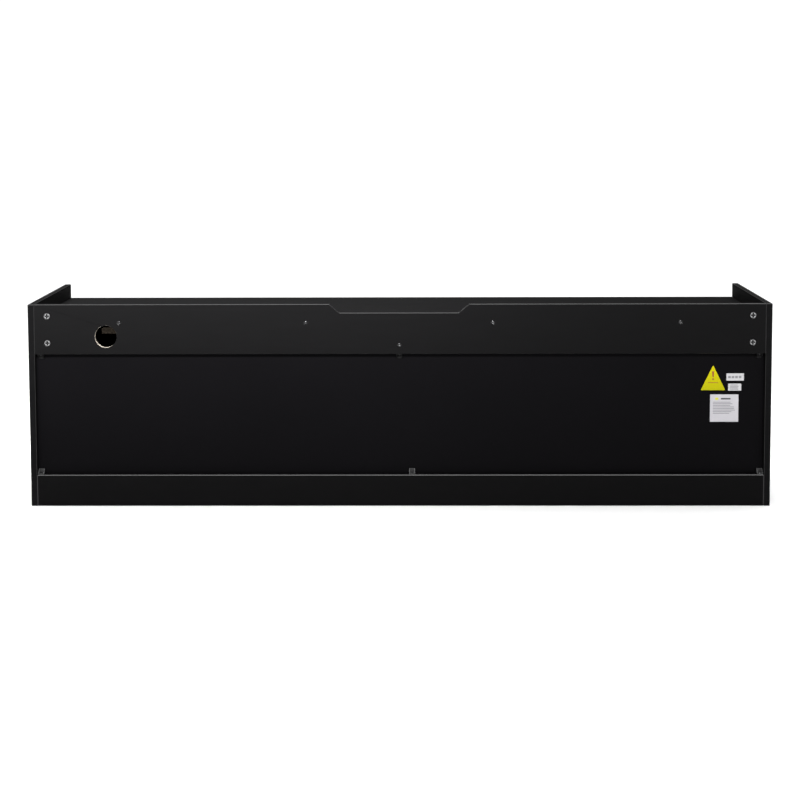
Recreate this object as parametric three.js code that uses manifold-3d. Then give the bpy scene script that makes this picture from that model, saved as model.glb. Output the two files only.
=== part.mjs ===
// Low media console with a built-in electric fireplace, in millimetres, +Z up.
// The origin is on the floor under the middle of the console. The front faces -Y and the rear faces +Y.
// Black laminated boards stand between two side panels that rise above the top board, a smoked glass door
// closes each side bay, and the fireplace insert fills the middle bay under an open media niche.
import * as THREE from "three";
import { mergeVertices } from "three/addons/utils/BufferGeometryUtils.js";
import Module from "manifold-3d";

const wasm = await Module();
wasm.setup();

// ---------------------------------------------------------------- driving dimensions
const WIDTH = 1780;
const DEPTH = 400;
const HEIGHT = 490;
const BOARD = 15;
const TRAY_DEPTH = 36; // the top board lies this far below the tops of the side panels
const REAR_RAIL_HEIGHT = 120;
const REAR_PLINTH_HEIGHT = 76;
const BACK_SHEET = 3;
const SHELF_TOP = 362;
const MIDDLE_BAY = 900; // clear width between the two dividers
const PLINTH_SETBACK = 20;
const GAP = 0.3; // between pieces that fit into each other

// ---------------------------------------------------------------- levels and planes that follow from them
const HALF = WIDTH / 2;
const INNER = HALF - BOARD;
const FRONT = -DEPTH / 2;
const REAR = DEPTH / 2;
const RAIL_FACE = REAR - BOARD; // inner face of the two rear rails
const SHEET_FACE = RAIL_FACE - BACK_SHEET; // front face of the thin back panel
const TOP_SURFACE = HEIGHT - TRAY_DEPTH;
const TOP_UNDER = TOP_SURFACE - BOARD;
const RAIL_BOTTOM = HEIGHT - REAR_RAIL_HEIGHT;
const BAY_FLOOR = REAR_PLINTH_HEIGHT;
const SHELF_UNDER = SHELF_TOP - BOARD;
const DIVIDER_IN = MIDDLE_BAY / 2;
const DIVIDER_OUT = DIVIDER_IN + BOARD;

// ---------------------------------------------------------------- finishes
const finish = (color, roughness, metalness = 0, more = {}) => ({ color, roughness, metalness, ...more });
const LAMINATE = finish(0x1d1d1e, 0.42);
const HARDBOARD = finish(0x17161a, 0.5);
const ZINC = finish(0xb9bbbd, 0.3, 0.9);
const GREY_PLASTIC = finish(0x8d8f92, 0.5);
const YELLOW_LABEL = finish(0xe0d513, 0.5);
const WHITE_LABEL = finish(0xd9d9dc, 0.5);
const SMOKED_GLASS = finish(0x2b2521, 0.08, 0, { transparent: true, opacity: 0.55 });
const DARK_STEEL = finish(0x202122, 0.45, 0.6);
const BARE_STEEL = finish(0x9b9ea1, 0.4, 0.9);
const BLACK_GLASS = finish(0x0c0c0d, 0.06, 0, { transparent: true, opacity: 0.5 });
const SCREEN = finish(0x6b5a4e, 0.3, 0, { transparent: true, opacity: 0.7 });
const EMBER = finish(0xb4451c, 0.6);
const LOG = finish(0x4a3527, 0.9);
const FOIL = finish(0xd5d7da, 0.2, 1);
const CIRCUIT = finish(0x1f5133, 0.5);
const CERAMIC = finish(0xc9c4b8, 0.7);
const BUTTON = finish(0x2c2d2f, 0.45);

// ---------------------------------------------------------------- solids
const root = new THREE.Group();

function add(name, geometry, look, at = [0, 0, 0], parent = root) {
  const mesh = new THREE.Mesh(geometry, new THREE.MeshStandardMaterial(look));
  mesh.name = name;
  mesh.position.set(...at);
  parent.add(mesh);
  return mesh;
}

// A block between two corners.
function block(low, high) {
  const size = high.map((h, i) => h - low[i]);
  const middle = high.map((h, i) => (h + low[i]) / 2);
  return new THREE.BoxGeometry(...size).translate(...middle);
}

// A rod of round section along one axis, "x", "y" or "z", from one end to the other through point at.
function rod(axis, radius, from, to, at = [0, 0, 0], sides = 16, endRadius = radius) {
  const made = new THREE.CylinderGeometry(endRadius, radius, to - from, sides);
  made.translate(0, (from + to) / 2, 0);
  if (axis === "x") made.rotateZ(-Math.PI / 2);
  if (axis === "z") made.rotateX(Math.PI / 2);
  return made.translate(...at);
}

// A flat outline of [across, up] points, standing in the XZ plane and extruded to +Y by thick.
function standing(shape, thick, curveSegments = 12) {
  const made = new THREE.ExtrudeGeometry(shape, { depth: thick, bevelEnabled: false, curveSegments });
  return made.rotateX(Math.PI / 2).translate(0, thick, 0);
}

// A section of [y, z] points extruded along X from x0 to x1.
function alongX(points, x0, x1) {
  const shape = new THREE.Shape(points.map(([y, z]) => new THREE.Vector2(y, z)));
  const made = new THREE.ExtrudeGeometry(shape, { depth: x1 - x0, bevelEnabled: false });
  made.applyMatrix4(new THREE.Matrix4().set(0, 0, 1, 0, 1, 0, 0, 0, 0, 1, 0, 0, 0, 0, 0, 1));
  return made.translate(x0, 0, 0);
}

function solid(geometry) {
  const bare = (geometry.index ? geometry.toNonIndexed() : geometry.clone());
  bare.deleteAttribute("normal");
  bare.deleteAttribute("uv");
  const merged = mergeVertices(bare, 1e-3);
  const vertProperties = merged.attributes.position.array;
  const triVerts = new Uint32Array(merged.index.array);
  return new wasm.Manifold(new wasm.Mesh({ numProp: 3, vertProperties, triVerts }));
}

function geometryOf(made) {
  const mesh = made.getMesh();
  const geometry = new THREE.BufferGeometry();
  geometry.setAttribute("position", new THREE.BufferAttribute(mesh.vertProperties, mesh.numProp));
  geometry.setIndex(new THREE.BufferAttribute(mesh.triVerts, 1));
  return geometry;
}

const cut = (base, ...tools) => geometryOf(tools.reduce((a, t) => a.subtract(solid(t)), solid(base)));
const join = (...pieces) => geometryOf(pieces.slice(1).reduce((a, p) => a.add(solid(p)), solid(pieces[0])));

const mirrored = [["left", -1], ["right", 1]];

// ---------------------------------------------------------------- cabinet boards
const HINGE = { x: 866, y: -187, pin: 2.5, bore: 3, boreDepth: 8.5 };
const SHELF_NOTCH = { x: 660, halfWidth: 30, depth: 30 };
const DIVIDER_NOTCH = { low: 300, high: 340, depth: 40 };

function boardWithHingeBores(low, high, boreFrom, boreTo) {
  const bores = mirrored.map(([, s]) => rod("z", HINGE.bore, boreFrom, boreTo, [s * HINGE.x, HINGE.y, 0]));
  return cut(block(low, high), ...bores);
}

function cabinet() {
  for (const [side, s] of mirrored) {
    const panel = new THREE.BoxGeometry(BOARD, DEPTH, HEIGHT);
    add(`side_panel_${side}`, panel, LAMINATE, [s * (HALF - BOARD / 2), 0, HEIGHT / 2]);
  }
  add("top_board", boardWithHingeBores(
    [-INNER, FRONT, TOP_UNDER], [INNER, RAIL_FACE, TOP_SURFACE], TOP_UNDER - 1, TOP_UNDER + HINGE.boreDepth,
  ), LAMINATE);
  add("bottom_board", boardWithHingeBores(
    [-INNER, FRONT, BAY_FLOOR - BOARD], [INNER, RAIL_FACE, BAY_FLOOR],
    BAY_FLOOR - HINGE.boreDepth, BAY_FLOOR + 1,
  ), LAMINATE);
  // The dividers and the niche post reach the rear rail, and are rebated below it for the back panel.
  const dividerSection = [
    [FRONT, BAY_FLOOR], [SHEET_FACE, BAY_FLOOR], [SHEET_FACE, RAIL_BOTTOM],
    [RAIL_FACE, RAIL_BOTTOM], [RAIL_FACE, TOP_UNDER], [FRONT, TOP_UNDER],
  ];
  add("divider_left", alongX(dividerSection, -DIVIDER_OUT, -DIVIDER_IN), LAMINATE);
  const { low, high, depth } = DIVIDER_NOTCH;
  add("divider_right", cut(
    alongX(dividerSection, DIVIDER_IN, DIVIDER_OUT),
    block([DIVIDER_IN - 1, SHEET_FACE - depth, low], [DIVIDER_OUT + 1, SHEET_FACE + 1, high]),
  ), LAMINATE);
  const postSection = [
    [FRONT + 10, SHELF_TOP], [SHEET_FACE, SHELF_TOP], [SHEET_FACE, RAIL_BOTTOM],
    [RAIL_FACE, RAIL_BOTTOM], [RAIL_FACE, TOP_UNDER], [FRONT + 10, TOP_UNDER],
  ];
  add("niche_post", alongX(postSection, -BOARD / 2, BOARD / 2), LAMINATE);
  const centreShelf = block([-DIVIDER_IN, FRONT, SHELF_UNDER], [DIVIDER_IN, SHEET_FACE, SHELF_TOP]);
  add("centre_shelf", centreShelf, LAMINATE);
  const shelfFront = FRONT + 28;
  const leftShelf = block([-INNER, shelfFront, SHELF_UNDER], [-DIVIDER_OUT, SHEET_FACE, SHELF_TOP]);
  add("side_shelf_left", leftShelf, LAMINATE);
  const notch = SHELF_NOTCH;
  add("side_shelf_right", cut(
    block([DIVIDER_OUT, shelfFront, SHELF_UNDER], [INNER, SHEET_FACE, SHELF_TOP]),
    block(
      [notch.x - notch.halfWidth, SHEET_FACE - notch.depth, SHELF_UNDER - 1],
      [notch.x + notch.halfWidth, SHEET_FACE + 1, SHELF_TOP + 1],
    ),
  ), LAMINATE);
  const plinthFront = FRONT + PLINTH_SETBACK;
  const frontPlinth = block([-INNER, plinthFront, 0], [INNER, plinthFront + BOARD, BAY_FLOOR - BOARD]);
  add("front_plinth", frontPlinth, LAMINATE);
  add("rear_plinth", block([-INNER, RAIL_FACE, 0], [INNER, REAR, REAR_PLINTH_HEIGHT]), LAMINATE);
  add("back_panel", block([-INNER, SHEET_FACE, BAY_FLOOR], [INNER, RAIL_FACE, RAIL_BOTTOM]), HARDBOARD);
}

// ---------------------------------------------------------------- rear top rail with its cable openings
const CABLE_HOLE = { x: 703.5, z: 412.5, radius: 26.5 };
const CABLE_NOTCH = { halfTop: 168, halfBottom: 143, depth: 21 };
const CAM = { x: 844, levels: [397, 462], radius: 7.5, depth: 12 };
const RAIL_SCREWS = [[-671, 446], [-223.5, 446], [223.5, 446], [671, 446], [0, 392]];

function rearTopRail() {
  const outline = new THREE.Shape([
    [-INNER, RAIL_BOTTOM], [INNER, RAIL_BOTTOM], [INNER, HEIGHT], [CABLE_NOTCH.halfTop, HEIGHT],
    [CABLE_NOTCH.halfBottom, HEIGHT - CABLE_NOTCH.depth],
    [-CABLE_NOTCH.halfBottom, HEIGHT - CABLE_NOTCH.depth],
    [-CABLE_NOTCH.halfTop, HEIGHT], [-INNER, HEIGHT],
  ].map(([x, z]) => new THREE.Vector2(x, z)));
  const hole = new THREE.Path().absarc(CABLE_HOLE.x, CABLE_HOLE.z, CABLE_HOLE.radius, 0, 2 * Math.PI);
  outline.holes.push(hole);
  const rail = standing(outline, BOARD, 20).translate(0, RAIL_FACE, 0);
  const pockets = [];
  for (const [, s] of mirrored)
    for (const z of CAM.levels)
      pockets.push(rod("y", CAM.radius + GAP, REAR - CAM.depth, REAR + 1, [s * CAM.x, 0, z], 20));
  const countersinks = RAIL_SCREWS.map(([x, z]) => rod("y", 1.5, REAR - 3, REAR + 0.5, [x, 0, z], 12, 5));
  add("rear_top_rail", cut(rail, ...pockets, ...countersinks), LAMINATE);
}

// Cam of a knock-down fitting: a zinc disc with a cross slot for the screwdriver.
function camLocks() {
  const low = REAR - CAM.depth + GAP;
  const disc = rod("y", CAM.radius, low, REAR - 0.2, [0, 0, 0], 20);
  const slots = [
    block([-4.5, REAR - 3, -1.1], [4.5, REAR + 1, 1.1]),
    block([-1.1, REAR - 3, -4.5], [1.1, REAR + 1, 4.5]),
  ];
  const shape = cut(disc, ...slots);
  for (const [side, s] of mirrored)
    for (const [i, z] of CAM.levels.entries())
      add(`cam_lock_${side}_${["lower", "upper"][i]}`, shape.clone(), ZINC, [s * CAM.x, 0, z]);
}

// Plastic corner clips on the rail edges hold the back panel against the shelves and dividers.
const CLIP = { width: 14, reach: 12, height: 13, wall: 2.5 };

function panelClip() {
  const { width, reach, height, wall } = CLIP;
  const half = width / 2;
  const rib = [[0, 0], [reach, 0], [reach, wall], [wall, height], [0, height]];
  return cut(
    join(
      block([-half, 0, 0], [half, reach, wall]),
      block([-half, 0, 0], [half, wall, height]),
      alongX(rib, -half, -half + 2),
      alongX(rib, half - 2, half),
    ),
    rod("z", 2, -1, wall + 1, [0, reach * 0.6, 0], 12),
  );
}

function panelClips() {
  const shape = panelClip();
  const lowerPlaces = [["left", -866], ["middle", -30], ["right", 866]];
  const upperPlaces = [["left", -862], ["middle", 0], ["right", 862]];
  for (const [place, x] of lowerPlaces)
    add(`panel_clip_lower_${place}`, shape.clone(), GREY_PLASTIC, [x, RAIL_FACE, REAR_PLINTH_HEIGHT]);
  for (const [place, x] of upperPlaces) {
    const hung = shape.clone().rotateY(Math.PI);
    add(`panel_clip_upper_${place}`, hung, GREY_PLASTIC, [x, RAIL_FACE, RAIL_BOTTOM]);
  }
}

// ---------------------------------------------------------------- blank stickers on the back panel
const LABEL_THICK = 0.3;
const TRIANGLE_LABEL = { x: -753, z: 278.5, width: 59, height: 61, corner: 3 };
const PLATE_LABELS = [
  ["label_strip", -806, 310.5, 42, 17.5],
  ["label_small", -805, 286, 31.5, 17],
  ["label_square", -780.5, 235, 68, 66.5],
];

function labels() {
  const { width, height, corner } = TRIANGLE_LABEL;
  const corners = [[-width / 2, 0], [width / 2, 0], [0, height]].map(([x, z]) => new THREE.Vector2(x, z));
  const outline = new THREE.Shape();
  corners.forEach((here, i) => {
    const before = corners[(i + 2) % 3];
    const after = corners[(i + 1) % 3];
    const enter = here.clone().add(before.clone().sub(here).setLength(corner));
    const leave = here.clone().add(after.clone().sub(here).setLength(corner));
    if (i === 0) outline.moveTo(enter.x, enter.y);
    else outline.lineTo(enter.x, enter.y);
    outline.quadraticCurveTo(here.x, here.y, leave.x, leave.y);
  });
  const at = [TRIANGLE_LABEL.x, RAIL_FACE, TRIANGLE_LABEL.z];
  add("label_triangle", standing(outline, LABEL_THICK, 4), YELLOW_LABEL, at);
  for (const [name, x, z, wide, high] of PLATE_LABELS) {
    const plate = block([-wide / 2, 0, -high / 2], [wide / 2, LABEL_THICK, high / 2]);
    add(name, plate, WHITE_LABEL, [x, RAIL_FACE, z]);
  }
}

// ---------------------------------------------------------------- glass doors
const GLASS = { thick: 5, low: 80, high: 435.5, outer: 870.5, inner: 467.5 };
const CLAMP = { outer: 872, inner: 848, halfThick: 6, height: 22.5, clear: 1.5 };
const HANDLE = { inner: 466, outer: 486, height: 60, middle: 257, pull: 7, pullThick: 5 };

// Each door is a group whose own origin is on its hinge axis. s is -1 for the left door and 1 for the right.
function door(side, s) {
  const hinged = new THREE.Group();
  hinged.position.set(s * HINGE.x, HINGE.y, 0);
  root.add(hinged);
  const local = (x) => s * (x - HINGE.x);
  const slab = (x0, x1, y0, y1, z0, z1) => {
    const [a, b] = [local(x0), local(x1)].sort((p, q) => p - q);
    return block([a, y0, z0], [b, y1, z1]);
  };
  const half = GLASS.thick / 2;
  const pane = slab(GLASS.inner, GLASS.outer, -half, half, GLASS.low, GLASS.high);
  add(`door_glass_${side}`, pane, SMOKED_GLASS, [0, 0, 0], hinged);

  const gripTop = TOP_UNDER - CLAMP.clear;
  const gripBottom = BAY_FLOOR + CLAMP.clear;
  const grips = [
    ["upper", gripTop - CLAMP.height, gripTop, gripTop - 1, TOP_UNDER + HINGE.boreDepth - 1],
    ["lower", gripBottom, gripBottom + CLAMP.height, BAY_FLOOR - HINGE.boreDepth + 1, gripBottom + 1],
  ];
  for (const [place, z0, z1, pin0, pin1] of grips) {
    const body = slab(CLAMP.inner, CLAMP.outer, -CLAMP.halfThick, CLAMP.halfThick, z0, z1);
    const slot = slab(
      CLAMP.inner - 1, GLASS.outer + GAP, -half - GAP, half + GAP,
      place === "upper" ? z0 - 1 : GLASS.low - GAP, place === "upper" ? GLASS.high + GAP : z1 + 1,
    );
    const held = solid(body).subtract(solid(slot)).add(solid(rod("z", HINGE.pin, pin0, pin1)));
    add(`door_hinge_${side}_${place}`, geometryOf(held), ZINC, [0, 0, 0], hinged);
  }

  const { inner, outer, height, middle, pull, pullThick } = HANDLE;
  const z0 = middle - height / 2;
  const z1 = middle + height / 2;
  const clip = join(
    slab(inner, outer, -CLAMP.halfThick, CLAMP.halfThick, z0, z1),
    slab(outer - pullThick, outer, -CLAMP.halfThick - pull, -CLAMP.halfThick + 1, z0, z1),
  );
  const bite = slab(GLASS.inner - GAP, outer + 1, -half - GAP, half + GAP, z0 - 1, z1 + 1);
  add(`door_handle_${side}`, cut(clip, bite), ZINC, [0, 0, 0], hinged);
}

// Magnetic catches sit on the dividers, just behind the door handles.
function doorCatches() {
  const face = HINGE.y + CLAMP.halfThick + 0.5;
  for (const [side, s] of mirrored) {
    const [a, b] = [s * DIVIDER_OUT, s * (DIVIDER_OUT + 14)].sort((p, q) => p - q);
    const body = block([a, face + 1, HANDLE.middle - 20], [b, face + 19, HANDLE.middle + 20]);
    const magnet = block([a + 3, face, HANDLE.middle - 14], [b - 3, face + 2, HANDLE.middle + 14]);
    add(`door_catch_${side}`, join(body, magnet), GREY_PLASTIC);
  }
}

// ---------------------------------------------------------------- fireplace insert: case and front
const CASE = { half: 440, front: -192.5, rear: 10, low: BAY_FLOOR, high: 342, sheet: 1.5 };
const FACE = {
  half: 447, front: -197, sheet: 2, low: 304, high: 345,
  glassThick: 4, glassLow: 79, glassHigh: 301,
};
const OUTLET = { half: 260, low: 313, high: 339 };
const BUTTONS = { names: ["power", "flame", "heat"], first: 352, pitch: 32, z: 326, radius: 5, hole: 5.5 };
const DISPLAY_SLOT = { x0: 288, x1: 328, z0: 318, z1: 334 };
const CEILING = 300;
const GLAND = { x: 400, z: 112, hole: 7 };

function caseShell() {
  const { half, front, rear, low, high, sheet } = CASE;
  const inside = block([-half + sheet, front - 1, low + sheet], [half - sheet, rear - sheet, high - sheet]);
  const slots = [];
  for (let i = 0; i < 12; i++) {
    const x = -275 + 50 * i;
    slots.push(block([x - 18, rear - sheet - 1, 318], [x + 18, rear + 1, 324]));
  }
  const lead = rod("y", GLAND.hole, rear - 5, rear + 5, [GLAND.x, 0, GLAND.z], 16);
  add("case_shell", cut(block([-half, front, low], [half, rear, high]), inside, ...slots, lead), DARK_STEEL);
  const ceiling = block([-half + 2, front + 1, CEILING], [half - 2, rear - 2, CEILING + sheet]);
  add("firebox_ceiling", ceiling, DARK_STEEL);
  const barrel = rod("y", GLAND.hole - GAP, rear - 12, rear + 4, [GLAND.x, 0, GLAND.z], 16);
  const flange = rod("y", 12, rear + GAP, rear + 7, [GLAND.x, 0, GLAND.z], 6);
  const nose = rod("y", 9, rear + 6, rear + 24, [GLAND.x, 0, GLAND.z], 16, 6);
  const bore = rod("y", 3.7, rear - 13, rear + 25, [GLAND.x, 0, GLAND.z], 12);
  add("cord_gland", cut(join(barrel, flange, nose), bore), BUTTON);
}

function fascia() {
  const { half, front, glassThick, glassLow, glassHigh, low, high, sheet } = FACE;
  add("front_glass", block([-half, front, glassLow], [half, front + glassThick, glassHigh]), BLACK_GLASS);
  const openings = [
    block([-OUTLET.half, front - 1, OUTLET.low], [OUTLET.half, front + sheet + 1, OUTLET.high]),
  ];
  for (let i = 0; i < 4; i++) {
    const z = 315.5 + 7 * i;
    openings.push(block([-425, front - 1, z - 1.5], [-285, front + sheet + 1, z + 1.5]));
  }
  BUTTONS.names.forEach((_, i) => {
    const at = [BUTTONS.first + BUTTONS.pitch * i, 0, BUTTONS.z];
    openings.push(rod("y", BUTTONS.hole, front - 1, front + sheet + 1, at, 20));
  });
  const { x0, x1, z0, z1 } = DISPLAY_SLOT;
  openings.push(block([x0, front - 1, z0], [x1, front + sheet + 1, z1]));
  add("fascia_strip", cut(block([-half, front, low], [half, front + sheet, high]), ...openings), DARK_STEEL);

  const grilleFront = front + sheet + GAP;
  const frame = cut(
    block(
      [-OUTLET.half - 8, grilleFront, OUTLET.low - 5],
      [OUTLET.half + 8, grilleFront + 2, OUTLET.high + 1.5],
    ),
    block([-OUTLET.half, grilleFront - 1, OUTLET.low], [OUTLET.half, grilleFront + 3, OUTLET.high]),
  );
  const blades = [];
  for (let i = 0; i < 4; i++) {
    const z = OUTLET.low + 3 + 6.5 * i;
    const blade = [[0.2, z], [8, z + 3], [8, z + 4.2], [0.2, z + 1.2]];
    const section = blade.map(([y, up]) => [grilleFront + y, up]);
    blades.push(alongX(section, -OUTLET.half - 1, OUTLET.half + 1));
  }
  for (const x of [-130, 0, 130])
    blades.push(block([x - 1, grilleFront + 0.5, OUTLET.low - 1], [x + 1, grilleFront + 7, OUTLET.high + 1]));
  add("outlet_louvre", join(frame, ...blades), DARK_STEEL);
}

function controls() {
  const back = FACE.front + FACE.sheet;
  BUTTONS.names.forEach((name, i) => {
    const x = BUTTONS.first + BUTTONS.pitch * i;
    const cap = rod("y", BUTTONS.radius, FACE.front - 2, back + 2.5, [0, 0, 0], 24);
    const flange = rod("y", BUTTONS.radius + 1.5, back + GAP, back + 1.8, [0, 0, 0], 24);
    add(`button_${name}`, join(cap, flange), BUTTON, [x, 0, BUTTONS.z]);
  });
  const boardFront = back + 6;
  const pieces = [block([284, boardFront, 306], [434, boardFront + 1.6, 339])];
  BUTTONS.names.forEach((_, i) => {
    const x = BUTTONS.first + BUTTONS.pitch * i;
    pieces.push(block([x - 3, boardFront - 2, BUTTONS.z - 3], [x + 3, boardFront + 0.5, BUTTONS.z + 3]));
  });
  const { x0, x1, z0, z1 } = DISPLAY_SLOT;
  pieces.push(block([x0 + 1, boardFront - 5, z0 + 1], [x1 - 1, boardFront + 0.5, z1 - 1]));
  pieces.push(block([300, boardFront + 1, 309], [330, boardFront + 9, 317]));
  add("control_board", join(...pieces), CIRCUIT);
}

// ---------------------------------------------------------------- fireplace insert: heater and its blower
const FAN = { y: -100, z: 322, radius: 14, hub: 2, blades: 14, half: 248 };
const DUCT = { half: 262, front: -184, low: 304, high: 339.5, wall: 1.5 };

// Points on the arc round the fan, at a radius and between two angles in degrees from the +Y direction.
function fanArc(radius, from, to, steps) {
  const points = [];
  for (let i = 0; i <= steps; i++) {
    const a = THREE.MathUtils.degToRad(from + ((to - from) * i) / steps);
    points.push([FAN.y + radius * Math.cos(a), FAN.z + radius * Math.sin(a)]);
  }
  return points;
}

function heater() {
  const { half, front, low, high, wall } = DUCT;
  // The volute: the roof runs back over the fan and curls down behind it, and the floor ends in a tongue.
  const outer = DUCT.high - FAN.z;
  const volute = [
    [front, high], ...fanArc(outer, 90, -20, 8),
    ...fanArc(outer - wall, -20, 90, 8), [front, high - wall],
  ];
  const floor = [[front, low], [FAN.y, low], [FAN.y, low + wall], [front, low + wall]];
  const plate = [[front, low], [FAN.y + outer, low], [FAN.y + outer, high], [front, high]];
  const bore = rod("x", 3.5, -half - 1, half + 1, [0, FAN.y, FAN.z], 16);
  add("heater_duct", cut(
    join(
      alongX(volute, -half, half), alongX(floor, -half, half),
      alongX(plate, -half, -half + wall), alongX(plate, half - wall, half),
    ), bore,
  ), BARE_STEEL);

  const bar = block([-252, -166, 308], [252, -154, 336]);
  const windows = [];
  for (let i = 0; i < 21; i++) {
    const x = -240 + 24 * i;
    windows.push(block([x - 9, -170, 311], [x + 9, -150, 321]));
    windows.push(block([x - 9, -170, 323.5], [x + 9, -150, 333.5]));
  }
  add("heater_element", cut(bar, ...windows), CERAMIC);

  const discs = [-FAN.half, -FAN.half / 2, 0, FAN.half / 2, FAN.half].map((x) =>
    rod("x", FAN.radius, x - 0.8, x + 0.8, [0, FAN.y, FAN.z], 24));
  const shaft = rod("x", FAN.hub, -half - 3, half + 20, [0, FAN.y, FAN.z], 12);
  const blades = [];
  for (let i = 0; i < FAN.blades; i++) {
    const a = (2 * Math.PI * i) / FAN.blades;
    const tip = (r, turn, lift) => [
      FAN.y + r * Math.cos(a + turn) + lift * Math.cos(a + 1.2),
      FAN.z + r * Math.sin(a + turn) + lift * Math.sin(a + 1.2),
    ];
    const section = [
      tip(13.6, 0, 0), tip(13.6, 0, 0.8), tip(11.2, 0.16, 0.8),
      tip(9.2, 0.2, 0.8), tip(9.2, 0.2, 0), tip(11.2, 0.16, 0),
    ];
    blades.push(alongX(section, -FAN.half, FAN.half));
  }
  add("blower_impeller", join(shaft, ...discs, ...blades), BARE_STEEL);

  const start = half + 4;
  const at = [0, FAN.y, FAN.z];
  const can = rod("x", 15, start + 8, start + 40, at, 24);
  const stack = block([start + 14, FAN.y - 24, FAN.z - 17], [start + 32, FAN.y + 34, FAN.z + 16.5]);
  const nose = rod("x", 7, start, start + 10, at, 16);
  const bearing = rod("x", 2.5, start - 1, start + 18, at, 12);
  add("blower_motor", cut(join(can, stack, nose), bearing), BARE_STEEL);
}

// ---------------------------------------------------------------- fireplace insert: flame display
const FLOOR = CASE.low + CASE.sheet; // inside face of the case floor
const SPINDLE = { y: -60, z: 118, rod: 2.5, flag: 22, from: -428, to: 414, flags: 26 };
const SCREEN_PLANE = { y: -100, thick: 3 };
const BED = { half: 432, front: -188, rear: -104, top: 105, skin: 3 };

function flameDisplay() {
  const low = FLOOR + GAP;
  const { y, thick } = SCREEN_PLANE;
  add("flame_screen", block([-432, y, low], [432, y + thick, CEILING - GAP]), SCREEN);

  const bed = block([-BED.half, BED.front, low], [BED.half, BED.rear, BED.top]);
  const under = block(
    [-BED.half + BED.skin, BED.front + BED.skin, low - 1],
    [BED.half - BED.skin, BED.rear - BED.skin, BED.top - 6],
  );
  add("ember_bed", cut(bed, under), EMBER);

  // Logs as [length, thick end radius, thin end radius, x, y, z of the middle, turn, lean], in mm, degrees.
  const logs = [
    [330, 17, 14, -235, -130, 121, 4, 0],
    [300, 19, 15, 20, -128, 122, -5, 0],
    [310, 16, 13, 255, -130, 120, 3, 0],
    [190, 13, 10, -300, -145, 134, 17, 8],
    [210, 14, 11, -120, -144, 138, -15, -7],
    [200, 13, 11, 95, -145, 138, 16, 7],
    [180, 12, 10, 300, -145, 133, -18, -8],
  ];
  const shapes = logs.map(([length, thickEnd, thinEnd, x, y0, z, turn, lean]) => {
    const made = rod("x", thickEnd, -length / 2, length / 2, [0, 0, 0], 10, thinEnd);
    made.rotateY(THREE.MathUtils.degToRad(-lean));
    made.rotateZ(THREE.MathUtils.degToRad(turn));
    return made.translate(x, y0, z);
  });
  const bedTop = block([-BED.half, BED.front - 5, low - 5], [BED.half, BED.rear + 5, BED.top + GAP]);
  const rearSpace = block([-BED.half, BED.rear - GAP, low], [BED.half, BED.rear + 60, CEILING]);
  add("log_set", cut(join(...shapes), bedTop, rearSpace), LOG);

  const axis = [0, SPINDLE.y, SPINDLE.z];
  const flags = [];
  const pitch = (SPINDLE.to - SPINDLE.from - 60) / SPINDLE.flags;
  for (let i = 0; i < SPINDLE.flags; i++) {
    const flag = block([-pitch * 0.42, 0, -0.4], [pitch * 0.42, SPINDLE.flag, 0.4]);
    flag.rotateX(i * 2.4);
    flags.push(flag.translate(SPINDLE.from + 30 + pitch * (i + 0.5), SPINDLE.y, SPINDLE.z));
  }
  add("flame_spindle", join(rod("x", SPINDLE.rod, SPINDLE.from, SPINDLE.to, axis, 12), ...flags), FOIL);

  const gearbox = rod("x", 24, 411, 429, axis, 24);
  const ears = block([411, SPINDLE.y - 6, low], [414, SPINDLE.y + 6, SPINDLE.z]);
  const shaftHole = rod("x", SPINDLE.rod + GAP, 405, 418, axis, 12);
  add("spindle_motor", cut(join(gearbox, ears), shaftHole), BARE_STEEL);
  const stand = block([-435, SPINDLE.y - 8, low], [-423, SPINDLE.y + 8, SPINDLE.z + 10]);
  const bushHole = rod("x", SPINDLE.rod + GAP, -431, -420, axis, 12);
  add("spindle_bush", cut(stand, bushHole), GREY_PLASTIC);

  const flameBoard = [block([-405, -30, low], [400, -28, low + 46])];
  const emberBoard = [block([-410, -165, low], [410, -127, low + 1.6])];
  for (let i = 0; i < 16; i++) {
    const x = -375 + 50 * i;
    flameBoard.push(block([x - 3, -32, SPINDLE.z - 14], [x + 3, -29, SPINDLE.z - 8]));
    emberBoard.push(block([x - 3, -149, low + 1], [x + 3, -143, low + 3.2]));
  }
  add("flame_led_board", join(...flameBoard), CIRCUIT);
  add("ember_led_board", join(...emberBoard), CIRCUIT);
}

cabinet();
rearTopRail();
camLocks();
panelClips();
labels();
for (const [side, s] of mirrored) door(side, s);
doorCatches();
caseShell();
fascia();
controls();
heater();
flameDisplay();

export default root;
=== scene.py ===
"""Looks of a low black media console with a built-in electric fireplace, seen from behind.

Every length is in metres, in the console's own frame: +Z up, the front faces -Y, and the rear
faces +Y. The cabinet, the glass doors and the fireplace's metalwork are the CAD nodes with new
finishes. The logs, the coals, the screw heads, the printed marks and the display are made here.
"""

import math
import random

import bmesh
import bpy
from mathutils import Euler, Matrix, Vector, noise


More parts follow.
